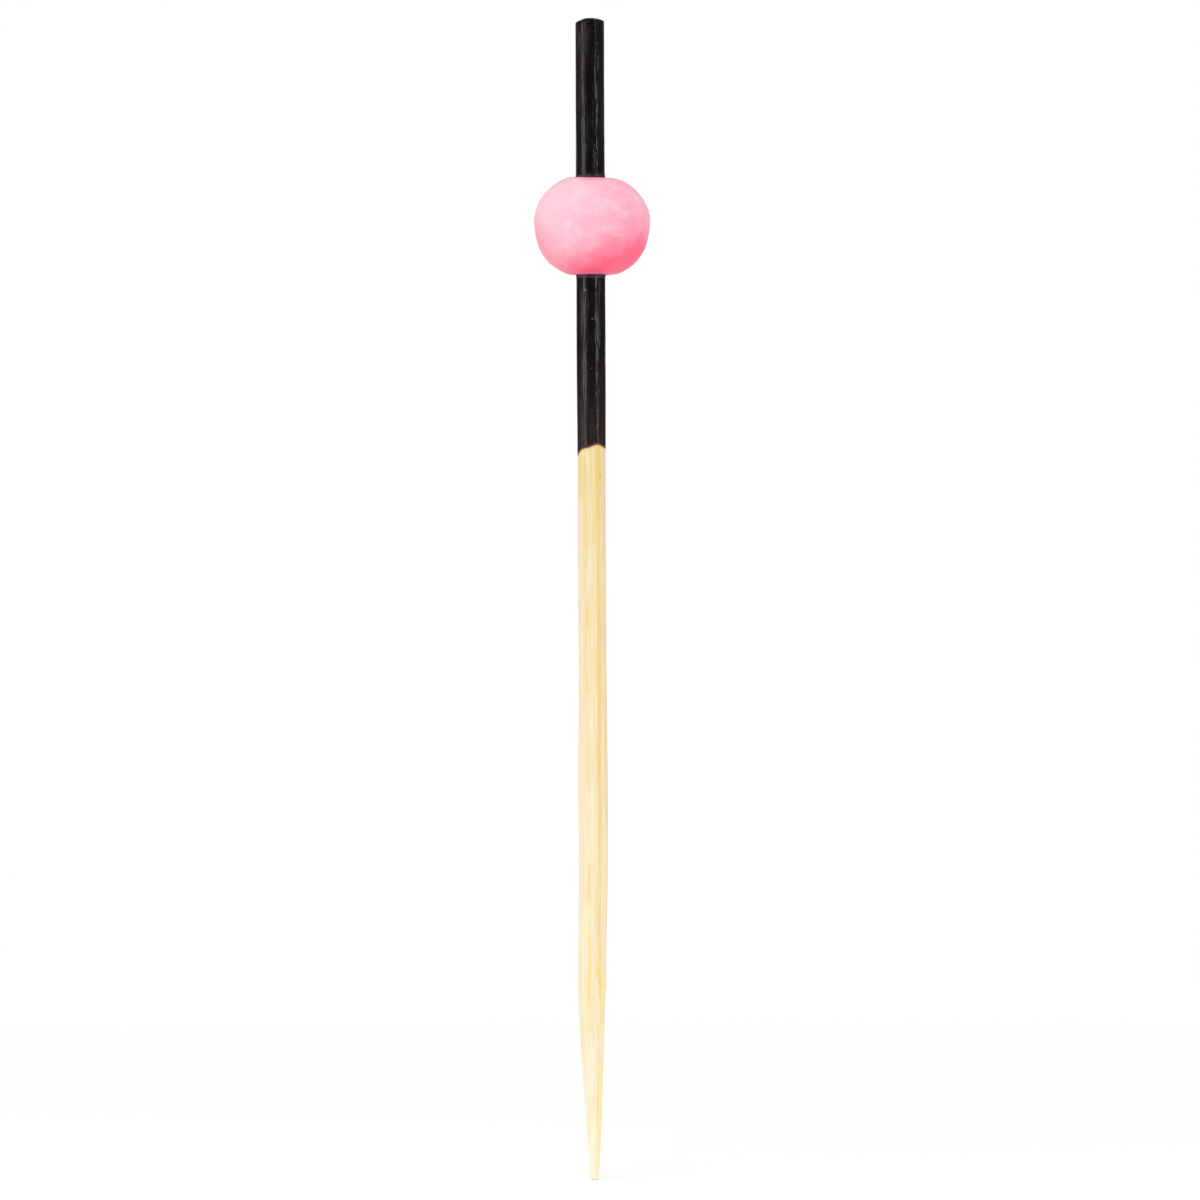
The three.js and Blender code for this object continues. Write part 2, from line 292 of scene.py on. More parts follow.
def cane_radius_tree():
    """Radius of the stick across its flats at a height: the cane as it grew, then its taper."""
    tree, given, results = new_tree(
        "Cane radius",
        {
            "Height": 0.0,
            "Length": OVERALL_LENGTH * MM,
            "Foot Radius": FOOT_DIAMETER / 2 * MM,
            "Head Radius": HEAD_DIAMETER / 2 * MM,
            "Swell": SWELL_EXTRA / 2 * MM,
            "Swell Height": SWELL_HEIGHT * MM,
            "Swell Reach": SWELL_REACH * MM,
            "Taper Length": TAPER_LENGTH * MM,
            "Taper Fullness": TAPER_FULLNESS,
            "Tip Radius": TIP_DIAMETER / 2 * MM,
        },
        {"Radius": FLOAT},
    )
    height = given["Height"]
    grown = ramp(tree, height, 0.0, given["Length"], given["Foot Radius"], given["Head Radius"])
    past = add(tree, MINUS, [height, given["Swell Height"]])
    share = add(tree, OVER, [past, given["Swell Reach"]])
    square = add(tree, TIMES, [share, share])
    fall = add(tree, TIMES, [square, -1.0])
    bell = add(tree, MATH, [fall], operation="EXPONENT")
    shank = add(tree, TIMES_PLUS, [bell, given["Swell"], grown])
    left = ramp(tree, height, 0.0, given["Taper Length"], 1.0, 0.0)
    ground = add(tree, POWER, [left, given["Taper Fullness"]])
    radius = ramp(tree, ground, 0.0, 1.0, shank, given["Tip Radius"])
    tree.links.new(radius, results["Radius"])
    return tree


def cane_section_tree():
    """Reach of the cane's slightly squared section at an angle and height, as a factor."""
    tree, given, results = new_tree(
        "Cane section",
        {
            "Angle": 0.0,
            "Height": 0.0,
            "Squareness": SQUARENESS,
            "Bearing": SECTION_BEARING,
            "Twist per Metre": SECTION_TWIST / (OVERALL_LENGTH * MM),
        },
        {"Factor": FLOAT},
    )
    twist = [given["Height"], given["Twist per Metre"], given["Bearing"]]
    faces = add(tree, TIMES_PLUS, twist)
    turned = add(tree, MINUS, [given["Angle"], faces])
    terms = []
    for wave in (COSINE, SINE):
        side = add(tree, wave, [turned])
        size = add(tree, MATH, [side], operation="ABSOLUTE")
        terms.append(add(tree, POWER, [size, given["Squareness"]]))
    total = add(tree, PLUS, terms)
    root = add(tree, OVER, [-1.0, given["Squareness"]])
    tree.links.new(add(tree, POWER, [total, root]), results["Factor"])
    return tree


def ground_flat_tree():
    """One flat that the belt ground on the point: it caps the reach in the way that it faces."""
    tree, given, results = new_tree(
        "Ground flat",
        {
            "Angle": 0.0,
            "Height": 0.0,
            "Reach": 1.0,
            "Bearing": 0.0,
            "Start": 0.0,
            "Depth": 0.0,
            "Onset": 1.0,
            "Corner": CORNER_FACTOR,
        },
        {"Reach": FLOAT, "On Flat": FLOAT},
    )
    turned = add(tree, MINUS, [given["Angle"], given["Bearing"]])
    cosine = add(tree, COSINE, [turned])
    facing = add(tree, MATH, [cosine, SIDE_ON], operation="MAXIMUM")
    share = ramp(tree, given["Height"], 0.0, given["Start"], 1.0, 0.0)
    deepened = add(tree, POWER, [share, given["Onset"]])
    cut = add(tree, TIMES, [deepened, given["Depth"]])
    left = add(tree, MINUS, [given["Corner"], cut])
    cap = add(tree, OVER, [left, facing])
    reach = add(tree, MATH, [given["Reach"], cap], operation="MINIMUM")
    on_flat = add(tree, MATH, [cap, given["Reach"]], operation="LESS_THAN")
    tree.links.new(reach, results["Reach"])
    tree.links.new(on_flat, results["On Flat"])
    return tree


def rounded_end_tree():
    """How far a rounded end drops below its flat at a radius: a quarter ellipse out to its rim."""
    tree, given, results = new_tree(
        "Rounded end",
        {"Radius": 0.0, "Rim": 1.0, "Flat": 0.5, "Round": 0.5},
        {"Drop": FLOAT},
    )
    share = ramp(tree, given["Radius"], given["Flat"], given["Rim"])
    square = add(tree, TIMES, [share, share])
    left = add(tree, MINUS, [1.0, square])
    height = add(tree, MATH, [left], operation="SQRT")
    fallen = add(tree, MINUS, [1.0, height])
    drop = add(tree, TIMES, [fallen, given["Round"]])
    tree.links.new(drop, results["Drop"])
    return tree


def crowned_end_tree(rounded_end):
    """How far the sawn and tumbled top end drops at a radius: level in its middle, then falling to
    its edge, which is rounded over."""
    tree, given, results = new_tree(
        "Crowned end",
        {
            "Radius": 0.0,
            "Rim": 1.0,
            "Flat": HEAD_FLAT * MM,
            "Fall": HEAD_DROP * MM,
            "Fullness": HEAD_FULLNESS,
            "Rim Round": RIM_ROUND * MM,
        },
        {"Drop": FLOAT},
    )
    share = ramp(tree, given["Radius"], given["Flat"], given["Rim"])
    bellied = add(tree, POWER, [share, given["Fullness"]])
    inner = add(tree, MINUS, [given["Rim"], given["Rim Round"]])
    edge = {"Radius": given["Radius"], "Rim": given["Rim"], "Flat": inner}
    over = add(tree, GROUP, {**edge, "Round": given["Rim Round"]}, node_tree=rounded_end)
    drop = add(tree, TIMES_PLUS, [bellied, given["Fall"], over])
    tree.links.new(drop, results["Drop"])
    return tree


def dip_shift_tree():
    """Height of the slanted, rippled dip line over its middle, at an angle."""
    tree, given, results = new_tree(
        "Dip shift",
        {
            "Angle": 0.0,
            "Rise": DIP_RISE * MM,
            "High Bearing": DIP_HIGH_BEARING,
            "Ripple": DIP_RIPPLE * MM,
            "Ripple Count": float(DIP_RIPPLE_COUNT),
            "Waver": DIP_WAVER * MM,
        },
        {"Shift": FLOAT},
    )
    turned = add(tree, MINUS, [given["Angle"], given["High Bearing"]])
    slant = add(tree, COSINE, [turned])
    climb = add(tree, TIMES, [slant, given["Rise"]])
    quick = add(tree, TIMES, [turned, given["Ripple Count"]])
    wave = add(tree, COSINE, [quick])
    rippled = add(tree, TIMES_PLUS, [wave, given["Ripple"], climb])
    sideways = add(tree, SINE, [turned])
    ring = add(tree, COMBINE, {"X": slant, "Y": sideways})
    wander = add(tree, NOISE, {"Vector": ring, "Scale": DIP_WAVER_RATE, "Detail": 3.0})
    centred = add(tree, MINUS, [wander, 0.5])
    shift = add(tree, TIMES_PLUS, [centred, given["Waver"], rippled])
    tree.links.new(shift, results["Shift"])
    return tree


def cane_point_tree(section, ground_flat):
    """Where a point of a round blank lies on the cane: its section, the ground flats, its crook,
    the slant of its sawn end, and the low ridges of its fibres."""
    tree, given, results = new_tree(
        "Cane point",
        {
            "Radius": 0.0,
            "Angle": 0.0,
            "Height": 0.0,
            "Crook": CROOK * MM,
            "Crook Length": CROOK_LENGTH * MM,
            "Head Tilt": HEAD_TILT * MM,
            "Head Low Bearing": HEAD_LOW_BEARING,
            "Head Flat": HEAD_FLAT * MM,
            "Head Rim": shank_radius(HEAD_FOOT) * MM,
            "Head Foot": HEAD_FOOT * MM,
            "Tilt Start": (HEAD_FOOT - TILT_BLEND) * MM,
            "Fibre Width": FIBRE_WIDTH * MM,
            "Fibre Length": FIBRE_LENGTH * MM,
            "Relief": 0.0,
        },
        {"Position": "NodeSocketVector", "On Last Flat": FLOAT},
    )
    height, radius = given["Height"], given["Radius"]
    here = {"Angle": given["Angle"], "Height": height}
    reach = add(tree, GROUP, here, node_tree=section)
    for bearing, start, depth, onset in GROUND_FLATS:
        flat = {"Bearing": bearing, "Start": start * MM, "Depth": depth, "Onset": onset}
        reach = add(tree, GROUP, {**here, **flat, "Reach": reach}, node_tree=ground_flat)
    last_flat = reach.node.outputs["On Flat"]
    east = add(tree, COSINE, [given["Angle"]])
    north = add(tree, SINE, [given["Angle"]])

    ring = add(tree, COMBINE, {"X": east, "Y": north})
    blank = {"Vector": ring, "Scale": FOOT_DIAMETER / 2 * MM}
    around = add(tree, VECTOR_MATH, blank, operation="SCALE")
    upright = add(tree, COMBINE, {"Z": height})
    on_cane = add(tree, VECTOR_MATH, [around, upright], operation="ADD")
    width = given["Fibre Width"]
    fibre = add(tree, COMBINE, {"X": width, "Y": width, "Z": given["Fibre Length"]})
    spread = add(tree, VECTOR_MATH, [on_cane, fibre], operation="DIVIDE")
    ridges = add(tree, NOISE, {"Vector": spread, "Scale": 1.0, "Detail": 2.0})
    valley = add(tree, TIMES, [given["Relief"], -1.0])
    relief = ramp(tree, ridges, *RIDGE_SPREAD, valley, given["Relief"])

    turned = add(tree, MINUS, [given["Angle"], given["Head Low Bearing"]])
    facing = add(tree, COSINE, [turned])
    outwards = ramp(tree, radius, given["Head Flat"], given["Head Rim"])
    upwards = ramp(tree, height, given["Tilt Start"], given["Head Foot"], kind="SMOOTHSTEP")
    share = add(tree, TIMES, [outwards, upwards])
    sunk = add(tree, TIMES, [facing, given["Head Tilt"]])
    lowered = add(tree, TIMES, [sunk, share])
    z = add(tree, MINUS, [height, lowered])

    out = add(tree, TIMES_PLUS, [radius, reach, relief])
    bow = ramp(tree, height, 0.0, given["Crook Length"], 0.0, math.pi)
    swung = add(tree, SINE, [bow])
    square = add(tree, TIMES, [swung, swung])
    crook = add(tree, TIMES, [square, given["Crook"]])
    straight = add(tree, TIMES, [east, out])
    x = add(tree, MINUS, [straight, crook])
    y = add(tree, TIMES, [north, out])
    tree.links.new(add(tree, COMBINE, {"X": x, "Y": y, "Z": z}), results["Position"])
    tree.links.new(last_flat, results["On Last Flat"])
    return tree


BLANK_ENDS = (-0.5, 0.5)


def round_blank(tree, given):
    """A round unit blank, and of each of its points the angle, the share of the radius, and the
    level between its ends."""
    sides = {"Vertices": given["Sides"], "Side Segments": given["Rows"]}
    size = {**sides, "Fill Segments": given["End Rings"], "Radius": 1.0, "Depth": 1.0}
    blank = add(tree, "GeometryNodeMeshCylinder", size, fill_type="TRIANGLE_FAN")
    position = add(tree, "GeometryNodeInputPosition")
    x, y, z = add(tree, SEPARATE, [position]).node.outputs
    angle = add(tree, MATH, [y, x], operation="ARCTAN2")
    flat = add(tree, COMBINE, {"X": x, "Y": y})
    share = measure(tree, "LENGTH", flat)
    quarter = add(tree, TIMES, [share, math.pi / 2])
    inward = add(tree, SINE, [quarter])
    return blank, angle, inward, z


def finish_tree(tree, results, mesh, material):
    """The end that every geometry tree here has: real, smooth faces in one material."""
    real = add(tree, "GeometryNodeRealizeInstances", [mesh])
    smooth = add(tree, "GeometryNodeSetShadeSmooth", {"Geometry": real})
    made = add(tree, "GeometryNodeSetMaterial", {"Geometry": smooth, "Material": material})
    tree.links.new(made, results["Geometry"])


def split_cane_tree(radius_at, point_on, rounded_end, crowned_end, dip_shift):
    """The whole bamboo stick, from its blunt ground tip to its sawn head."""
    tree, given, results = new_tree(
        "Split cane",
        {
            "Sides": CANE_SIDES,
            "Rows": CANE_ROWS,
            "End Rings": END_RINGS,
            "Length": STICK_LENGTH * MM,
            "Head Foot": HEAD_FOOT * MM,
            "Tip Round": TIP_ROUND * MM,
            "Dip Line": DIP_LINE * MM,
            "Relief": CANE_RELIEF * MM,
            "Material": MATERIAL,
        },
        {"Geometry": GEOMETRY},
    )
    blank, angle, inward, along = round_blank(tree, given)
    rim_level = ramp(tree, along, *BLANK_ENDS, given["Tip Round"], given["Head Foot"])
    rim = add(tree, GROUP, {"Height": rim_level}, node_tree=radius_at)
    radius = add(tree, TIMES, [rim, inward])
    tip_flat = add(tree, MINUS, [rim, given["Tip Round"]])
    tip = {"Radius": radius, "Rim": rim, "Flat": tip_flat, "Round": given["Tip Round"]}
    tip_drop = add(tree, GROUP, tip, node_tree=rounded_end)
    head_drop = add(tree, GROUP, {"Radius": radius, "Rim": rim}, node_tree=crowned_end)
    top = add(tree, MINUS, [given["Length"], head_drop])
    height = ramp(tree, along, *BLANK_ENDS, tip_drop, top)

    shift = add(tree, GROUP, {"Angle": angle}, node_tree=dip_shift)
    line = add(tree, PLUS, [given["Dip Line"], shift])
    above = add(tree, MINUS, [height, line])
    marked = add(tree, STORE, {"Geometry": blank, "Name": "above_dip", "Value": above})
    spot = {"Radius": radius, "Angle": angle, "Height": height, "Relief": given["Relief"]}
    position = add(tree, GROUP, spot, node_tree=point_on)
    rind = position.node.outputs["On Last Flat"]
    marked = add(tree, STORE, {"Geometry": marked, "Name": "rind_flat", "Value": rind})
    moved = add(tree, "GeometryNodeSetPosition", {"Geometry": marked, "Position": position})
    finish_tree(tree, results, moved, given["Material"])
    return tree


def lacquer_film_tree(radius_at, point_on, crowned_end, dip_shift):
    """The outside of the lacquer: over the head and down to the slanted line it was dipped to,
    where it drained thin."""
    tree, given, results = new_tree(
        "Lacquer film",
        {
            "Sides": FILM_SIDES,
            "Rows": FILM_ROWS,
            "End Rings": END_RINGS,
            "Length": STICK_LENGTH * MM,
            "Head Foot": HEAD_FOOT * MM,
            "Film": FILM_REACH * MM,
            "Edge Film": (FILM_GAP + LACQUER_EDGE_THICKNESS) * MM,
            "Thin Reach": THIN_REACH * MM,
            "Dip Line": DIP_LINE * MM,
            "Dip Blend": DIP_BLEND * MM,
            "Relief": FILM_RELIEF * MM,
            "Material": MATERIAL,
        },
        {"Geometry": GEOMETRY},
    )
    blank, angle, inward, along = round_blank(tree, given)
    open_foot = {"Geometry": blank, "Selection": blank.node.outputs["Bottom"]}
    cup = add(tree, "GeometryNodeDeleteGeometry", open_foot, domain="FACE")
    rim_level = ramp(tree, along, *BLANK_ENDS, given["Dip Line"], given["Head Foot"])
    bare = add(tree, GROUP, {"Height": rim_level}, node_tree=radius_at)
    risen = add(tree, MINUS, [rim_level, given["Dip Line"]])
    thin, whole = given["Edge Film"], given["Film"]
    film = ramp(tree, risen, 0.0, given["Thin Reach"], thin, whole, kind="SMOOTHSTEP")
    rim = add(tree, PLUS, [bare, film])
    radius = add(tree, TIMES, [rim, inward])
    head_drop = add(tree, GROUP, {"Radius": radius, "Rim": rim}, node_tree=crowned_end)
    crown = add(tree, PLUS, [given["Length"], given["Film"]])
    top = add(tree, MINUS, [crown, head_drop])
    level = ramp(tree, along, *BLANK_ENDS, given["Dip Line"], top)

    shift = add(tree, GROUP, {"Angle": angle}, node_tree=dip_shift)
    climb = add(tree, MINUS, [level, given["Dip Line"]])
    lift = ramp(tree, climb, 0.0, given["Dip Blend"], shift, 0.0, kind="SMOOTHSTEP")
    height = add(tree, PLUS, [level, lift])
    marked = add(tree, STORE, {"Geometry": cup, "Name": "above_dip", "Value": climb})
    spot = {"Radius": radius, "Angle": angle, "Height": height, "Relief": given["Relief"]}
    position = add(tree, GROUP, spot, node_tree=point_on)
    moved = add(tree, "GeometryNodeSetPosition", {"Geometry": marked, "Position": position})
    finish_tree(tree, results, moved, given["Material"])
    return tree


def grit_tree():
    """Hard grains bedded in a wet film: low domes strewn over the outside of a piece, most of them
    small, and none within a height of its middle that something else covers."""
    tree, given, results = new_tree(
        "Grit",
        {
            "Geometry": GEOMETRY,
            "Middle Height": BEAD_LEVEL * MM,
            "Covered": 0.0,
            "Grains per Square Metre": 1.0,
            "Smallest": 0.0,
            "Largest": 0.0,
            "Flatness": 0.5,
            "Seed": 0,
            "Material": MATERIAL,
        },
        {"Geometry": GEOMETRY},
    )
    middle = add(tree, COMBINE, {"Z": given["Middle Height"]})
    position = add(tree, "GeometryNodeInputPosition")
    away = add(tree, VECTOR_MATH, [position, middle], operation="SUBTRACT")
    normal = add(tree, "GeometryNodeInputNormal")
    facing = measure(tree, "DOT_PRODUCT", normal, away)
    outside = add(tree, MATH, [facing, 0.0], operation="GREATER_THAN")
    rise = add(tree, SEPARATE, [away], out="Z")
    level = add(tree, MATH, [rise], operation="ABSOLUTE")
    clear = add(tree, MATH, [level, given["Covered"]], operation="GREATER_THAN")
    bare = add(tree, TIMES, [outside, clear])
    spread = {"Mesh": given["Geometry"], "Selection": bare, "Seed": given["Seed"]}
    density = {"Density": given["Grains per Square Metre"]}
    strewn = add(tree, "GeometryNodeDistributePointsOnFaces", {**spread, **density})
    chance = add(tree, "FunctionNodeRandomValue", {"Seed": given["Seed"]}, data_type="FLOAT")
    mostly_small = add(tree, POWER, [chance, GRIT_BIAS])
    size = ramp(tree, mostly_small, 0.0, 1.0, given["Smallest"], given["Largest"])
    proud = add(tree, TIMES, [size, given["Flatness"]])
    scale = add(tree, COMBINE, {"X": size, "Y": size, "Z": proud})
    grain_ball = add(tree, "GeometryNodeMeshIcoSphere", {"Radius": 1.0, "Subdivisions": 2})
    turned = {"Rotation": strewn.node.outputs["Rotation"], "Scale": scale}
    placed = {"Points": strewn, "Instance": grain_ball, **turned}
    bedded = add(tree, "GeometryNodeInstanceOnPoints", placed)
    finish_tree(tree, results, bedded, given["Material"])
    return tree


# The bead and its glue, turned about the stick


def bead_reach(half, radius, inset):
    """Height of the bead's outline over its widest level, on a bead that is smaller by inset."""
    height, fullness, dimple, reach = half
    share = (radius / (BEAD_DIAMETER / 2 - inset)) ** fullness
    sunk = dimple * math.exp(-(((radius - MOUTH_RADIUS) / reach) ** 2))
    return (height - inset) * max(0, 1 - share) ** (1 / fullness) - sunk


def bead_outline(inset, steps):
    """The bead's outline from its lower mouth round to its upper one, as (radius, height)."""
    wide = BEAD_DIAMETER / 2 - inset
    first = math.asin(MOUTH_RADIUS / wide)
    radii = [wide * math.sin(lerp(first, math.pi / 2, i / steps)) for i in range(steps + 1)]
    lower = [(radius, -bead_reach(BEAD_LOWER, radius, inset)) for radius in radii]
    upper = [(radius, bead_reach(BEAD_UPPER, radius, inset)) for radius in reversed(radii)]
    return lower + upper[1:]


def on_bead(radius, angle, height):
    """Where a point of the bead lies: its outside leans and stands off centre, its bore is true."""
    share = smoothstep(radius, MOUTH_RADIUS, MOUTH_RADIUS + LEAN_REACH)
    point = Vector((radius * math.cos(angle), radius * math.sin(angle), height))
    point = Matrix.Rotation(BEAD_LEAN * share, 3, "Y") @ point
    return point + Vector((BEAD_OFFSET * share, 0, BEAD_LEVEL))


def turned_piece(name, loop, sides, move, material):
    """A closed loop of (radius, height), up the outside and down the inside, turned about the
    stick, each point moved by move(radius, angle, height, step of the loop)."""
    verts = []
    for step, (radius, height) in enumerate(loop):
        for side in range(sides):
            point = move(radius, side / sides * math.tau, height, step)
            verts.append(point * MM)
    faces = []
    for step in range(len(loop)):
        above = (step + 1) % len(loop)
        for side in range(sides):
            beside = (side + 1) % sides
            corners = [(step, side), (step, beside), (above, beside), (above, side)]
            faces.append([row * sides + column for row, column in corners])
    mesh = bpy.data.meshes.new(name)
    mesh.from_pydata(verts, [], faces)
    mesh.polygons.foreach_set("use_smooth", [True] * len(faces))
    mesh.materials.append(material)
    return in_scene(name, mesh)


def sanded_flats():
    """The small flats that the sanding drum left on the bead: the way each faces and its depth."""
    chance = random.Random(FLAT_SEED)
    flats = []
    for _ in range(SANDED_FLATS):
        up, turn = chance.uniform(-1, 1), chance.uniform(0, math.tau)
        level = math.sqrt(1 - up * up)
        facing = Vector((level * math.cos(turn), level * math.sin(turn), up))
        flats.append((facing, chance.uniform(*FLAT_DEPTHS)))
    return flats


def bead_lump(point, outwards, size, flats):
    """How far the painted surface stands off a true turned bead at a point, in millimetres: broad
    lumps, dents where beads knocked together while the paint set, and the sanded flats, none so
    deep that it reaches the wood."""
    lumps = LUMP_DEPTH * noise.noise(point / LUMP_WIDTH)
    dents = DENT_DEPTH * noise.noise(point / DENT_WIDTH + DENT_SHIFT)
    ripples = RIPPLE_DEPTH * noise.noise(point / RIPPLE_WIDTH + RIPPLE_SHIFT)
    cut = 0
    for facing, depth in flats:
        over = depth - size * (1 - outwards.dot(facing))
        if over > 0:
            cut = max(cut, over * over / (over + FLAT_SOFTNESS))
    return max(lumps + dents + ripples - cut, FILM_GAP / 4 - WOOD_INSET)


def bead_paint(material):
    """The coat of paint on the bead, a closed shell that reaches in to the wood."""
    outside = bead_outline(0, BEAD_STEPS)
    inside = bead_outline(WOOD_INSET, PAINT_BACK_STEPS)[::-1]
    centre = Vector((BEAD_OFFSET, 0, BEAD_LEVEL))
    flats = sanded_flats()

    def place(radius, angle, height, step):
        point = on_bead(radius, angle, height)
        if step >= len(outside):
            return point
        outwards = (point - centre).normalized()
        fade = smoothstep(radius, MOUTH_RADIUS, MOUTH_RADIUS + LEAN_REACH / 2)
        size = (point - centre).length
        return point + outwards * bead_lump(point, outwards, size, flats) * fade

    return turned_piece("bead_paint", outside + inside, BEAD_SIDES, place, material)


def glue_end(half):
    """The glue at one end of the bore, from the bore past its eased edge and in to the stick."""
    mouth = bead_reach(half, MOUTH_RADIUS, WOOD_INSET)
    lip = MOUTH_RADIUS - FILM_GAP
    edge = GLUE_INNER + FILLET_EDGE
    points = [(BORE_RADIUS - FILM_GAP, mouth - MOUTH_CHAMFER)]
    for i in range(GLUE_STEPS + 1):
        turn = i / GLUE_STEPS * math.pi / 2
        climb = FILLET_HEIGHT * (1 - math.cos(turn))
        points.append((lip - (lip - edge) * math.sin(turn), mouth + climb))
    return [*points, (GLUE_INNER, mouth + FILLET_HEIGHT)]


def glue_fillets(material):
    """The glue in the bore and the fillet that it squeezed out at both mouths."""
    lower = [(radius, -height) for radius, height in glue_end(BEAD_LOWER)]
    loop = lower[::-1] + glue_end(BEAD_UPPER)

    def place(radius, angle, height, _):
        share = 1 - smoothstep(radius, GLUE_INNER, BORE_RADIUS - FILM_GAP)
        reach = radius * lerp(1, section_factor(angle, height + BEAD_LEVEL), share)
        sway = Vector((math.cos(angle), math.sin(angle), height * GLUE_END_SHIFT))
        sway *= GLUE_WAVER_RATE
        thin = 1 - smoothstep(radius, GLUE_INNER, MOUTH_RADIUS - FILM_GAP)
        waver = FILLET_HEIGHT * GLUE_WAVER * noise.noise(sway) * thin * math.copysign(1, height)
        level = height + waver + BEAD_LEVEL
        return Vector((reach * math.cos(angle), reach * math.sin(angle), level))

    return turned_piece("glue_fillets", loop, GLUE_SIDES, place, material)


# Materials


def new_material(name):
    """An empty material, its tree, its one surface shader's inputs, and the place of a point."""
    material = bpy.data.materials.new(name)
    material.use_nodes = True
    tree = material.node_tree
    tree.nodes.clear()
    surface = add(tree, "ShaderNodeBsdfPrincipled")
    add(tree, "ShaderNodeOutputMaterial", {"Surface": surface})
    place = add(tree, "ShaderNodeTexCoord", out="Object")
    return material, tree, surface.node.inputs, place


def grain(tree, place, size, low=0.0, high=1.0, detail=2.0):
    """A value that wanders from low to high in grains as long as size says, in millimetres along
    each axis."""
    scaled = add(tree, VECTOR_MATH, [place, Vector(size) * MM], operation="DIVIDE")
    wander = add(tree, NOISE, {"Vector": scaled, "Scale": 1.0, "Detail": detail})
    return ramp(tree, wander, *GRAIN_SPREAD, low, high)


def layer(tree, under, over, where, start, full, strength=1.0):
    """A colour laid over another: not at all where a value is at start, and by its strength where
    the value is at full."""
    share = ramp(tree, where, start, full, 0.0, strength)
    return add(tree, MIX, {"Factor": share, "A": under, "B": linear(over)}, data_type="RGBA")


def finish_surface(tree, surface, colour, roughness, height, depth):
    """Gives a surface its colour, its roughness and a fine relief, whose height is a value from 0
    to 1, depth millimetres at 1."""
    bump = {"Height": height, "Distance": depth * MM, "Strength": 1.0}
    normal = add(tree, "ShaderNodeBump", bump)
    for name, value in (("Base Color", colour), ("Roughness", roughness), ("Normal", normal)):
        tree.links.new(value, surface[name])


def unrolled(tree, place):
    """The skin of the stick laid flat: X how far round it a place lies, Y how high, both in metres.
    Round the stick it sways a little, as the fibres do."""
    x, y, z = add(tree, SEPARATE, [place]).node.outputs
    angle = add(tree, MATH, [y, x], operation="ARCTAN2")
    sway = grain(tree, place, (1.2, 1.2, 8), -SKIN_SWAY * MM, SKIN_SWAY * MM)
    around = add(tree, TIMES_PLUS, [angle, FOOT_DIAMETER / 2 * MM, sway])
    return add(tree, COMBINE, {"X": around, "Y": z})


def mark(tree, skin, bearing, height, width, length):
    """How far inside one long mark a place on the unrolled skin lies: 0 at its edge and beyond, 1
    in its middle. The bearing is in degrees, the sizes in millimetres."""
    middle = Vector((math.radians(bearing) * FOOT_DIAMETER / 2, height, 0))
    half = (width / 2, length / 2, 0)
    soft = (width * MARK_SOFTNESS, min(length / 2, MARK_FADE), 1)
    slope = [-1 / (s * MM) for s in soft]
    peak = [h / s for h, s in zip(half, soft)]
    away = add(tree, VECTOR_MATH, [skin, middle * MM], operation="SUBTRACT")
    size = add(tree, VECTOR_MATH, [away], operation="ABSOLUTE")
    inside = add(tree, VECTOR_MATH, [size, slope, peak], operation="MULTIPLY_ADD")
    across, along, _ = add(tree, SEPARATE, [inside]).node.outputs
    least = add(tree, MATH, [across, along], operation="MINIMUM")
    return ramp(tree, least, 0.0, 1.0, kind="SMOOTHSTEP")


GOLD, STRAW, OLIVE, YELLOW = "#efcb6c", "#eecf80", "#b08f3e", "#f5d863"
PAINTED_SHADE_TAN, PEACH, CREAM, MILK = "#eacfa8", "#fbdba4", "#fff0b8", "#f6ecd4"
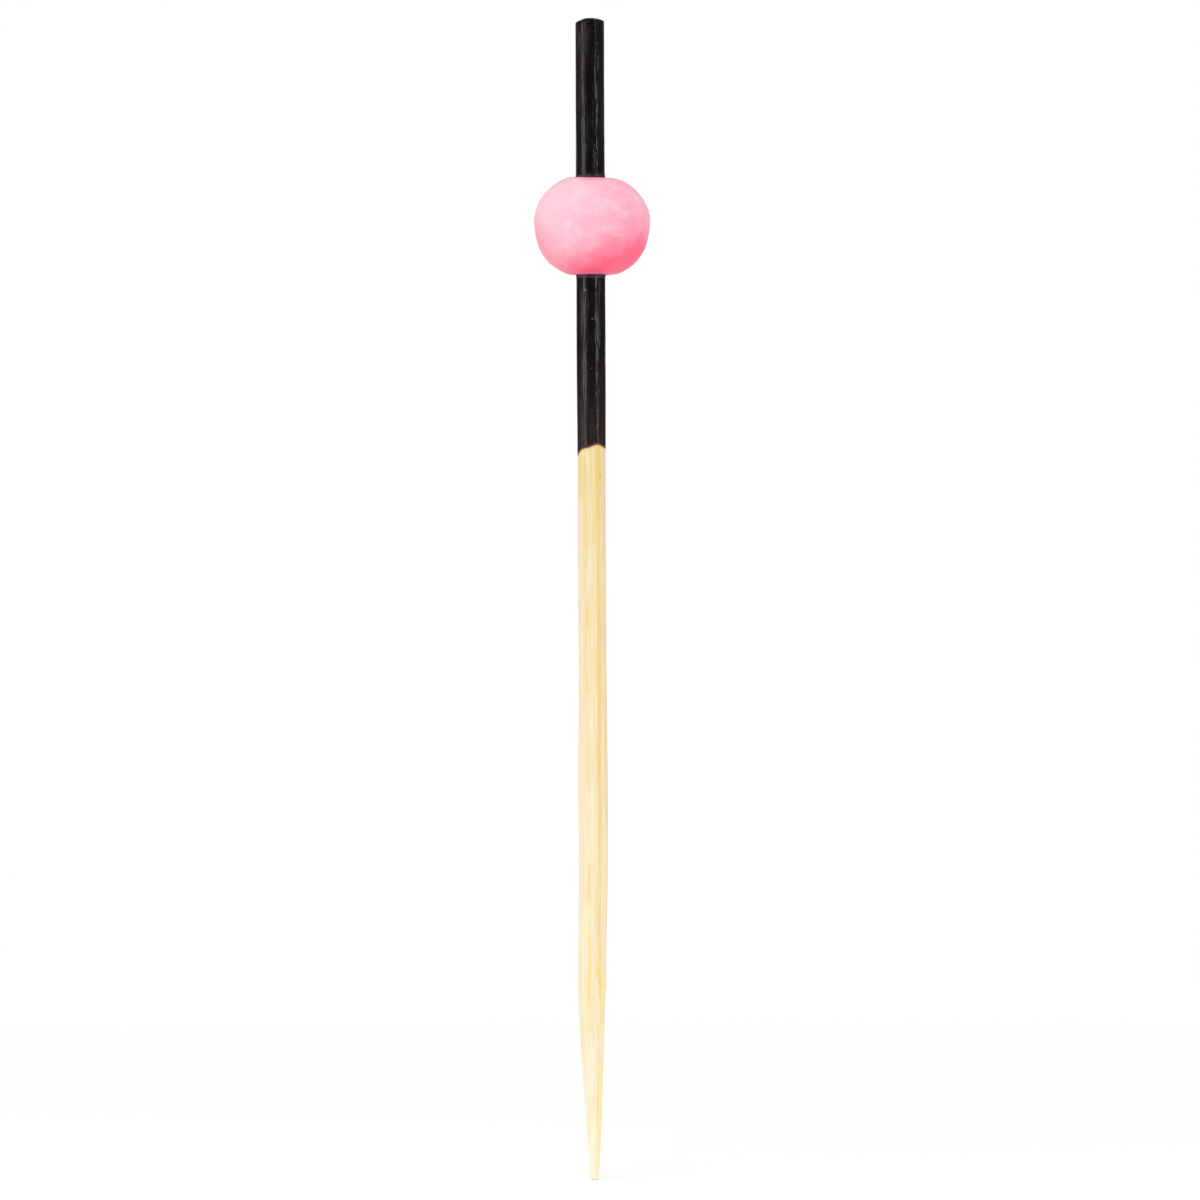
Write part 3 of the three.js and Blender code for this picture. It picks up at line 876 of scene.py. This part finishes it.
# Marks in the bamboo: bearing, height, width, length, strength and colour. First golden fibres,
# then a band of painted shade down the right side, stains of rind and sap, and last the dark ends
# of a few fibres.
CANE_MARKS = [
    (-150, 49, 1.3, 44, 0.6, MILK),
    (-61, 59, 0.85, 37, 0.95, GOLD),
    (-62, 31, 0.6, 26, 0.75, GOLD),
    (-116, 73.5, 0.6, 2.4, 0.85, STRAW),
    (-117, 71.2, 0.5, 1.8, 0.6, STRAW),
    (-117, 68.6, 0.5, 4.2, 0.9, STRAW),
    (-116, 66, 0.5, 2.6, 0.8, STRAW),
    (-114, 58.2, 0.46, 4.2, 0.9, GOLD),
    (-113, 55.5, 0.4, 1.2, 0.7, GOLD),
    (-112, 51, 0.42, 3.4, 0.85, GOLD),
    (-109, 43, 0.4, 6, 0.45, STRAW),
    (-117, 63, 0.8, 26, 0.5, STRAW),
    (-107, 30.8, 0.6, 6, 0.6, GOLD),
    (-84, 58, 0.3, 24, 0.3, STRAW),
    (-86, 69, 0.3, 9, 0.35, STRAW),
    (-138, 50, 0.36, 46, 0.3, STRAW),
    (-4, 60, 0.5, 84, 0.6, GOLD),
    (38, 52, 0.6, 104, 0.8, GOLD),
    (72, 38, 0.4, 60, 0.5, STRAW),
    (104, 64, 0.55, 66, 0.7, GOLD),
    (141, 46, 0.4, 44, 0.5, STRAW),
    (168, 42, 0.5, 92, 0.8, GOLD),
    (-158, 58, 0.4, 40, 0.3, STRAW),
    # Painted shade: a pinkish tan band down the right side
    (-28, 60, 1.2, 50, 0.7, PAINTED_SHADE_TAN),
    (-110, 22, 0.6, 10, 0.65, YELLOW),
    (-109, 17, 0.9, 6, 0.4, YELLOW),
    (-68, 21.6, 1.3, 2.2, 0.95, YELLOW),
    (-55, 20.2, 0.9, 2.8, 0.8, YELLOW),
    (-52, 17.0, 1.1, 6, 0.5, YELLOW),
    (-30, 19.5, 0.8, 8, 0.5, YELLOW),
    (120, 24, 1.0, 5.5, 0.6, YELLOW),
    (30, 16, 0.7, 12, 0.6, YELLOW),
    (-56, 11.9, 1.1, 2.8, 0.9, PEACH),
    (-100, 6, 2.6, 5, 0.6, CREAM),
    (-54, 72.7, 0.2, 0.9, 0.6, OLIVE),
    (-53, 71, 0.16, 1.6, 0.7, OLIVE),
    (66, 58.5, 0.2, 2.4, 0.6, OLIVE),
    (160, 33, 0.2, 1.6, 0.6, OLIVE),
]

# Colour that changes along the stick: hue, heights where it starts and where it is full, strength
CANE_WASHES = [
    ("#f8eac6", 74, 22, 1.0),
    ("#e6d08a", 65, 75, 0.7),
    ("#fbf3d9", 14, 9, 1.0),
]
# Patches and fibres, from broad to fine: the size and detail of their grain, their hue, the level
# of the grain at which they start to show, and their strength
CANE_GRAINS = [
    ((0.7, 0.7, 4), 3.0, "#f4dcc0", 0.55, 0.5),
    ((0.4, 0.4, 9), 2.0, "#f2d996", 0.5, 0.5),
    ((0.24, 0.24, 5), 2.0, "#fdf3d8", 0.5, 0.6),
    ((0.14, 0.14, 4), 2.0, "#ecd2a0", 0.5, 0.45),
]
# The rind that the last ground flat bares starts in a slanted line, below which it grows clear, and
# is strongest by its ridge, a mark in the terms above.
RIND_SLANT, RIND_TOP, RIND_FADE = 0.8, 11.8, 1.2
RIND_RIDGE = (-60, 8.7, 0.56, 7.4)


def split_moulded_bamboo():
    """Bamboo, split and moulded round, its point ground on a belt: bare and satin, straw coloured,
    with broken fibres along its whole length, some of them golden, a few dark fibre ends, yellow
    stains of rind, paler on the ground point, and lacquer soaked in along the dip. A band of
    painted shade darkens its right side."""
    material, tree, surface, place = new_material("split moulded bamboo")
    skin = unrolled(tree, place)
    height = add(tree, SEPARATE, [place], out="Z")

    colour = linear("#edd9aa")
    for hue, start, full, strength in CANE_WASHES:
        colour = layer(tree, colour, hue, height, start * MM, full * MM, strength)
    for size, detail, hue, start, strength in CANE_GRAINS:
        fibres = grain(tree, place, size, detail=detail)
        colour = layer(tree, colour, hue, fibres, start, 1.0, strength)
    broken = grain(tree, place, (0.4, 0.4, 4), 0.5, 1.0)
    for *spot, strength, hue in CANE_MARKS:
        near = mark(tree, skin, *spot)
        most = add(tree, TIMES, [broken, strength])
        colour = layer(tree, colour, hue, near, 0.0, 1.0, most)

    rind = add(tree, "ShaderNodeAttribute", out="Fac", attribute_name="rind_flat")
    around = add(tree, SEPARATE, [skin], out="X")
    slanted = add(tree, TIMES_PLUS, [around, RIND_SLANT, height])
    below = ramp(tree, slanted, RIND_TOP * MM, (RIND_TOP - RIND_FADE) * MM)
    bared = add(tree, TIMES, [below, rind])
    colour = layer(tree, colour, "#fdecac", bared, 0.2, 0.9, 0.85)
    near = add(tree, TIMES, [mark(tree, skin, *RIND_RIDGE), bared])
    colour = layer(tree, colour, "#f8d968", near, 0.0, 1.0, grain(tree, place, (0.3, 0.3, 4), 0.6))
    # Worn pale at the very tip, and tinted where lacquer soaked in under the dip line
    colour = layer(tree, colour, "#f9f1d2", height, 4.5 * MM, 0.0, 0.8)
    above = add(tree, "ShaderNodeAttribute", out="Fac", attribute_name="above_dip")
    colour = layer(tree, colour, "#e5b878", above, -0.4 * MM, -0.08 * MM, 0.6)
    colour = layer(tree, colour, "#7c4a22", above, -0.12 * MM, 0.0)

    roughness = grain(tree, place, (0.4, 0.4, 5), 0.5, 0.68)
    fine = grain(tree, place, (0.1, 0.1, 6), detail=4.0)
    finish_surface(tree, surface, colour, roughness, fine, 0.012)
    surface["IOR"].default_value = 1.5
    return material


# Marks in the lacquer, in the same terms: smoky, brownish blooms on the head, two grey streaks of
# painted highlight on the left below the bead, dust that dried into it, and a fleck of pink paint.
LACQUER_MARKS_AND_PAINTED_HIGHLIGHTS = [
    (-130, 117.8, 1.3, 3.4, 0.5, "#332b28"),
    (-128, 112, 0.8, 4, 0.4, "#3a2e2c"),
    # Painted highlight: two grey streaks that widen the left reflection
    (-133, 89.4, 0.45, 6.6, 0.5, "#554a4b"),
    (-113, 88.3, 0.35, 4.8, 0.5, "#403c3c"),
    (-86, 88.9, 0.13, 0.2, 0.5, "#a9a3a3"),
    (-85, 83.8, 0.12, 0.15, 0.5, "#a39d9d"),
    (-68, 81.2, 0.14, 0.3, 0.5, "#8d8584"),
    (20, 108, 0.14, 0.2, 0.5, "#a9a3a3"),
    (140, 86, 0.13, 0.2, 0.5, "#a39d9d"),
    (-115, 91.9, 0.42, 0.36, 0.8, "#8a525a"),
]
# Where it dried dull, on the head and by the dip line: bearing, height, width, length, strength
BLOOMS = [(-125, 117.2, 2.4, 4.6, 0.35), (-126, 77.5, 2.0, 9, 0.22)]
# Pits where it drew back from the wood, each with a raised rim: bearing, height, width, length
CRATERS = [(-64, 117.3, 0.62, 0.8), (96, 101.5, 0.5, 0.7), (-150, 80.5, 0.4, 0.6)]
PEEL_SHARE, CRATER_SHARE = 0.12, 1.2  # of the fine peel and of a pit's rim, the sag being 1


def dipped_black_lacquer():
    """Black lacquer, dipped and air dried: a deep gloss drawn into uneven streaks by the fibres
    under it, with smoky dull patches, two streaks of painted highlight on its left below the bead,
    and a red-brown show-through where it drained thin."""
    material, tree, surface, place = new_material("dipped black lacquer")
    above = add(tree, "ShaderNodeAttribute", out="Fac", attribute_name="above_dip")

    skin = unrolled(tree, place)
    smoke = grain(tree, place, (0.8, 0.8, 2.6), detail=3.0)
    fibres = grain(tree, place, (0.22, 0.22, 6), 0.1, 0.9)
    colour = layer(tree, linear("#0d0b0c"), "#1e1a1a", smoke, 0.45, 1.0, 0.9)
    colour = layer(tree, colour, "#221719", grain(tree, place, (0.5, 0.5, 9)), 0.5, 1.0, 0.6)
    colour = layer(tree, colour, "#382928", above, 11 * MM, 0.4 * MM, fibres)
    # Marks in the lacquer, and the painted highlight streaks below the bead
    for *spot, strength, hue in LACQUER_MARKS_AND_PAINTED_HIGHLIGHTS:
        near = mark(tree, skin, *spot)
        colour = layer(tree, colour, hue, near, 0.0, 1.0, strength)
    colour = layer(tree, colour, "#55341c", above, 0.24 * MM, 0.0)

    gloss = grain(tree, place, (0.5, 0.5, 3.4), 0.08, 0.2)
    dull = ramp(tree, smoke, 0.5, 1.0, 0.0, 0.1)
    for *spot, strength in BLOOMS:
        near = mark(tree, skin, *spot)
        dull = add(tree, TIMES_PLUS, [near, strength, dull])
    roughness = add(tree, PLUS, [gloss, dull])
    sag = grain(tree, place, (0.55, 0.55, 4.6), detail=2.0)
    peel = grain(tree, place, (0.2, 0.2, 0.5), detail=1.0)
    height = add(tree, TIMES_PLUS, [peel, PEEL_SHARE, sag])
    for spot in CRATERS:
        near = mark(tree, skin, *spot)
        rim = add(tree, MATH, [near, 0.5], operation="PINGPONG")
        height = add(tree, TIMES_PLUS, [rim, CRATER_SHARE, height])
    finish_surface(tree, surface, colour, roughness, height, 0.045)
    surface["IOR"].default_value = 1.52
    return material


# Marks painted on the front of the paint: x and height of each on the bead, its width and height,
# its strength and its colour. First painted shade under the upper mouth and on the underside by the
# lower mouth, then painted highlights on an arched crease, pale scuffs, a painted highlight and
# painted shade along a crease, and last a pinhole.
PAINT_MARKS_AND_PAINTED_LIGHT = [
    # Painted shade under the upper mouth, and on the underside by the lower mouth
    (0.0, 103.55, 3.7, 1.2, 0.9, "#ff7898"),
    (0.0, 103.55, 4.4, 0.36, 0.8, "#d8527a"),
    (0.55, 93.7, 3.0, 2.6, 0.8, "#ff5b7b"),
    # Painted highlights on an arched crease
    (0.65, 101.22, 0.56, 0.26, 0.6, "#ffe4eb"),
    (0.32, 100.98, 0.26, 0.44, 0.55, "#ffe4eb"),
    (0.98, 100.98, 0.26, 0.44, 0.5, "#ffe4eb"),
    (-2.3, 98.6, 1.3, 1.5, 0.5, "#ffdde5"),
    (-1.1, 97.6, 1.0, 0.7, 0.4, "#ffdbe4"),
    (-2.5, 96.3, 1.1, 0.4, 0.5, "#ffd3de"),
    # A painted highlight along a crease, and painted shade in it
    (2.3, 98.1, 3.4, 1.5, 0.5, "#ffc4d3"),
    (2.8, 97.4, 1.7, 0.5, 0.5, "#ffc3d2"),
    (2.5, 97.1, 1.5, 0.3, 0.5, "#ff86a4"),
    (3.8, 96.75, 0.22, 0.22, 0.8, "#c04c68"),
]
MOUTH_SHADE_REACH = 1.3  # how far from its mouths the painted shade round them reaches
# The ways from the bead's middle along which colour stands in for light: painted light pale on the
# upper left turning to painted shade on the lower right, painted shade on the underside and on the
# lower left, and a painted sheen on the right flank
PAINTED_LIGHT_TO_SHADE_WAY, UNDERSIDE_SHADE_WAY = (0.8, 0.0, -0.6), (0.4, 0.1, -0.91)
LOWER_LEFT_SHADE_WAY, SHEEN_FLANK_WAY = (-0.75, 0.1, -0.66), (1, 0, 0.35)


def tumbled_pink_paint():
    """Pink enamel, tumbled onto the bead in a drum: satin and softly mottled, with grit in it, pale
    scuffs and creases. Painted light makes its upper left pale, and painted shade makes it stronger
    in colour on its lower side, round its mouths and in a crease; a painted sheen pales its right
    flank, and painted highlights sit on its creases."""
    material, tree, surface, place = new_material("tumbled pink paint")
    centre = Vector((BEAD_OFFSET, 0, BEAD_LEVEL)) * MM
    out = add(tree, VECTOR_MATH, [place, centre], operation="SUBTRACT")
    sway = grain(tree, place, (2.2, 2.2, 2.2), -0.5 * MM, 0.5 * MM)
    light_to_shade, underside_shade, lower_left_shade, sheen_flank = [
        measure(tree, "DOT_PRODUCT", out, towards)
        for towards in (PAINTED_LIGHT_TO_SHADE_WAY, UNDERSIDE_SHADE_WAY, LOWER_LEFT_SHADE_WAY, SHEEN_FLANK_WAY)
    ]
    underside_shade = add(tree, PLUS, [underside_shade, sway])
    # Painted light and shade: pale on the upper left, deeper pink towards the lower right
    colour = layer(tree, linear("#ffc9d6"), "#ff9db8", light_to_shade, -4.5 * MM, 4.5 * MM)
    clouds = grain(tree, place, (2.0, 2.0, 1.4), detail=2.0)
    colour = layer(tree, colour, "#ffd8e1", clouds, 0.5, 1.0, 0.4)
    scuffs = grain(tree, place, (0.5, 0.5, 0.35), detail=2.0)
    colour = layer(tree, colour, "#ffdde5", scuffs, 0.8, 1.1, 0.25)
    # Painted shade: deeper pink on the lower left, then in two steps on the underside
    colour = layer(tree, colour, "#ffa0b5", lower_left_shade, 3.3 * MM, 5.2 * MM, 0.85)
    colour = layer(tree, colour, "#ff96ae", underside_shade, 0.9 * MM, 2.9 * MM)
    colour = layer(tree, colour, "#ff6686", underside_shade, 2.4 * MM, 4.3 * MM)
    # Painted sheen: paler pink on the right flank
    colour = layer(tree, colour, "#ffc2d4", sheen_flank, 4.2 * MM, 6.0 * MM, 0.5)
    x, y, height = add(tree, SEPARATE, [place]).node.outputs
    front = add(tree, MATH, [y, 0.0], operation="LESS_THAN")
    facing = add(tree, COMBINE, {"X": x, "Z": height})
    # Painted shade, painted highlights, scuffs and a pinhole on the front of the bead
    for across, level, wide, high, strength, hue in PAINT_MARKS_AND_PAINTED_LIGHT:
        sizes = Vector((wide, 1, high)) / 2
        scaled = add(tree, VECTOR_MATH, [facing, sizes * MM], operation="DIVIDE")
        target = (across / sizes.x, 0, level / sizes.z)
        away = measure(tree, "DISTANCE", scaled, target)
        most = add(tree, TIMES, [front, strength])
        colour = layer(tree, colour, hue, away, 1.0, 0.1, most)
    # Painted shade round both mouths: deeper pink close to the stick
    flat = add(tree, VECTOR_MATH, [out, (1.0, 1.0, 0.0)], operation="MULTIPLY")
    wide = measure(tree, "LENGTH", flat)
    mouth_shade_edge = (MOUTH_RADIUS + MOUTH_SHADE_REACH) * MM
    colour = layer(tree, colour, "#ff86a2", wide, mouth_shade_edge, MOUTH_RADIUS * MM, 0.65)

    roughness = grain(tree, place, (1.6, 1.6, 1.6), 0.44, 0.58)
    peel = grain(tree, place, (0.4, 0.4, 0.4), detail=3.0)
    finish_surface(tree, surface, colour, roughness, peel, 0.02)
    surface["IOR"].default_value = 1.45
    surface["Specular IOR Level"].default_value = 0.25
    surface["Coat Weight"].default_value = 0.05
    surface["Coat Roughness"].default_value = 0.5
    return material


RED_REACH = 0.1  # how far up from the bead the glue is tinted by the paint


def cured_glue():
    """Glue, stained by the lacquer and the paint that it ran over: dark, purplish, redder
    where it meets the paint, and shiny as it set."""
    material, tree, surface, place = new_material("cured stained glue")
    cloud = grain(tree, place, (0.5, 0.5, 0.3))
    colour = layer(tree, linear("#231d31"), "#463c5c", cloud, 0.3, 1.0)
    height = add(tree, SEPARATE, [place], out="Z")
    for half, side in ((BEAD_UPPER, 1), (BEAD_LOWER, -1)):
        mouth = BEAD_LEVEL + side * bead_reach(half, MOUTH_RADIUS, 0)
        reddened = mouth + side * RED_REACH
        colour = layer(tree, colour, "#52283f", height, reddened * MM, mouth * MM, 0.4)
    roughness = grain(tree, place, (0.5, 0.5, 0.3), 0.22, 0.36)
    finish_surface(tree, surface, colour, roughness, cloud, 0.01)
    surface["IOR"].default_value = 1.49
    return material


def turned_birch():
    """Birch, turned on a lathe: pale, close grained, with the tool's fine rings round its axis."""
    material, tree, surface, place = new_material("turned birch")
    rings = grain(tree, place, (0.5, 3.0, 0.5), detail=3.0)
    colour = layer(tree, linear("#e8d0a6"), "#d9bb8a", rings, 0.2, 1.0)
    tool = grain(tree, place, (40, 40, 0.18), detail=1.0)
    roughness = ramp(tree, tool, 0.0, 1.0, 0.55, 0.7)
    finish_surface(tree, surface, colour, roughness, tool, 0.015)
    return material


# Studio

PICTURE_SPAN = 0.12393  # metres that the square picture covers at the pick
CAMERA_DISTANCE = 1.0
CAMERA_X, CAMERA_Z = 0.0008, 0.0599
CAMERA_ROLL = math.radians(0.258)
SENSOR = 36
AMBIENT = 0.845  # light that comes evenly from all round
FLOOR_RADIUS = 0.4
FLOOR_SIDES = 96
FLOOR_FADE = (0.35, 0.95)  # shares of its radius between which it fades out
FLOOR_GLOW = 0.03  # what the camera sees added to the lit floor, so that it is white
# Soft boxes: azimuth and elevation in degrees, distance, width and height in metres, radiance
SOFT_BOXES = {
    "key_soft_box": (-28, 50, 0.9, 0.5, 0.5, 1.9),
    "left_soft_box": (-64, 6, 0.8, 0.28, 0.46, 1.5),
    "right_soft_box": (58, 6, 0.8, 0.17, 0.46, 2.0),
}
# What the gloss mirrors of a room that is dark in front: warm sides, a dark ceiling, the white
# behind the pick, and two dim walls. Each has the way it lies, its colour, the reach along that way
# at which it starts and is full, and its strength.
WALLS = [
    ((0, 1, 0), "#66504f", -0.3, 0.5, 1.0),
    ((0, 0, 1), "#2a2626", 0.2, 0.6, 0.9),
    ((0, 1, 0), "#ffffff", 0.86, 0.92, 1.0),
    ((-0.92, -0.39, 0), "#989494", 0.8, 0.96, 1.0),
    ((0.9, -0.42, 0), "#5c5858", 0.8, 0.96, 1.0),
]
BRIGHTER_WAY = (0.9, 0.0, -0.4)  # a little more of the even light comes from there


def photo_camera():
    """The camera, square on to the pick, as far round and as high as the photograph's."""
    lens = bpy.data.cameras.new("photo_camera")
    lens.sensor_width = SENSOR
    lens.lens = SENSOR * CAMERA_DISTANCE / PICTURE_SPAN
    lens.clip_start, lens.clip_end = 0.01, 10
    camera = in_scene("photo_camera", lens)
    camera.location = (CAMERA_X, -CAMERA_DISTANCE, CAMERA_Z)
    camera.rotation_euler = (math.pi / 2, CAMERA_ROLL, 0)
    bpy.context.scene.camera = camera


def soft_box(name, azimuth, elevation, distance, width, height, radiance):
    """A soft box that faces the pick from azimuth, 0 being the front and 90 the right, and
    elevation, in degrees. Its radiance is that of a white wall at 1."""
    lamp = bpy.data.lights.new(name, "AREA")
    lamp.shape = "RECTANGLE"
    lamp.size, lamp.size_y = width, height
    lamp.energy = radiance * math.pi * width * height
    a, e = math.radians(azimuth), math.radians(elevation)
    away = Vector((math.sin(a) * math.cos(e), -math.cos(a) * math.cos(e), math.sin(e)))
    box = in_scene(name, lamp)
    box.location = Vector((0, 0, OVERALL_LENGTH / 2 * MM)) + away * distance
    box.rotation_euler = away.to_track_quat("Z", "Y").to_euler()
    box.visible_camera = False


def studio_world():
    """The room: white behind the pick, as the camera sees it. Its walls show only in the gloss, and
    keep the lacquer black, with brown edges and soft streaks. Its light on the pick is even, but
    for a little more from the right."""
    world = bpy.data.worlds.new("studio")
    bpy.context.scene.world = world
    world.use_nodes = True
    tree = world.node_tree
    tree.nodes.clear()
    rays = add(tree, "ShaderNodeLightPath").node.outputs
    way = add(tree, "ShaderNodeTexCoord", out="Generated")
    room = (0.02, 0.02, 0.02, 1.0)
    for side, hue, start, full, strength in WALLS:
        facing = measure(tree, "DOT_PRODUCT", way, side)
        room = layer(tree, room, hue, facing, start, full, strength)
    right = measure(tree, "DOT_PRODUCT", way, BRIGHTER_WAY)
    even = layer(tree, (AMBIENT, AMBIENT, AMBIENT, 1.0), "#ffffff", right, -0.1, 0.7)
    mirrored = {"Factor": rays["Is Glossy Ray"], "A": even, "B": room}
    light = add(tree, MIX, mirrored, data_type="RGBA")
    direct = [rays["Is Camera Ray"], rays["Is Transmission Ray"]]
    seen = add(tree, MATH, direct, operation="MAXIMUM")
    shown = {"Factor": seen, "A": light, "B": (1.0, 1.0, 1.0, 1.0)}
    sky = add(tree, "ShaderNodeBackground", {"Color": add(tree, MIX, shown, data_type="RGBA")})
    add(tree, "ShaderNodeOutputWorld", {"Surface": sky})


def studio_floor():
    """A pale floor that holds the pick's shadow and fades out into the white behind it."""
    turns = [i / FLOOR_SIDES * math.tau for i in range(FLOOR_SIDES)]
    rim = [(FLOOR_RADIUS * math.cos(turn), FLOOR_RADIUS * math.sin(turn), 0) for turn in turns]
    mesh = bpy.data.meshes.new("studio_floor")
    mesh.from_pydata(rim, [], [list(range(FLOOR_SIDES))])
    material = bpy.data.materials.new("white studio floor")
    material.use_nodes = True
    tree = material.node_tree
    tree.nodes.clear()
    place = add(tree, "ShaderNodeTexCoord", out="Object")
    away = measure(tree, "LENGTH", place)
    near, far = (FLOOR_RADIUS * share for share in FLOOR_FADE)
    fade = ramp(tree, away, near, far)
    white = add(tree, "ShaderNodeBsdfDiffuse", {"Color": linear("#fcfcfc")})
    seen = add(tree, "ShaderNodeLightPath", out="Is Camera Ray")
    strength = add(tree, TIMES, [seen, FLOOR_GLOW])
    glow = add(tree, "ShaderNodeEmission", {"Strength": strength})
    lit = add(tree, "ShaderNodeAddShader", [white, glow])
    clear = add(tree, "ShaderNodeBsdfTransparent")
    faded = add(tree, "ShaderNodeMixShader", [fade, lit, clear])
    add(tree, "ShaderNodeOutputMaterial", {"Surface": faded})
    mesh.materials.append(material)
    floor = in_scene("studio_floor", mesh)


photo_camera()
for name, sizes in SOFT_BOXES.items():
    soft_box(name, *sizes)
studio_world()
studio_floor()

bpy.context.scene.view_settings.view_transform = "Standard"

# The pick

bamboo = split_moulded_bamboo()
lacquer = dipped_black_lacquer()
paint = tumbled_pink_paint()
glue = cured_glue()

radius_at = cane_radius_tree()
point_on = cane_point_tree(cane_section_tree(), ground_flat_tree())
rounded_end, dip_shift = rounded_end_tree(), dip_shift_tree()
crowned_end = crowned_end_tree(rounded_end)
cane_tree = split_cane_tree(radius_at, point_on, rounded_end, crowned_end, dip_shift)
film_tree = lacquer_film_tree(radius_at, point_on, crowned_end, dip_shift)
grit = grit_tree()

cane = grow("bamboo_cane", cane_tree, {"Material": bamboo})
film_wall = FILM_GAP + LACQUER_EDGE_THICKNESS
film = grow("lacquer_film", film_tree, {"Material": lacquer}, wall=film_wall)
coat = bead_paint(paint)
fillets = glue_fillets(glue)

lacquer_grit = {
    "Grains per Square Metre": 1.6e5,
    "Smallest": 0.03 * MM,
    "Largest": 0.1 * MM,
    "Flatness": 0.4,
    "Covered": (BEAD_LOWER[0] + FILLET_HEIGHT) * MM,
    "Seed": 11,
    "Material": lacquer,
}
nibs = grow("lacquer_nibs", grit, lacquer_grit, base=film.data.copy())
paint_grit = {
    "Grains per Square Metre": 1.6e5,
    "Smallest": 0.04 * MM,
    "Largest": 0.16 * MM,
    "Flatness": 0.35,
    "Seed": 5,
    "Material": paint,
}
grains = grow("paint_grit", grit, paint_grit, base=coat.data.copy())

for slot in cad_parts["wooden_bead"].material_slots:
    slot.material = turned_birch()

for piece, slot, nodes in (
    (cane, "bamboo", ["bamboo_stick"]),
    (film, "black_lacquer", ["black_lacquer_coat"]),
    (nibs, "black_lacquer", []),
    (coat, "pink_paint", ["pink_paint_coat"]),
    (grains, "pink_paint", []),
    (fillets, "glue", ["glue_sleeve"]),
):
    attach(piece, "root")
    if nodes:
        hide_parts(*nodes)
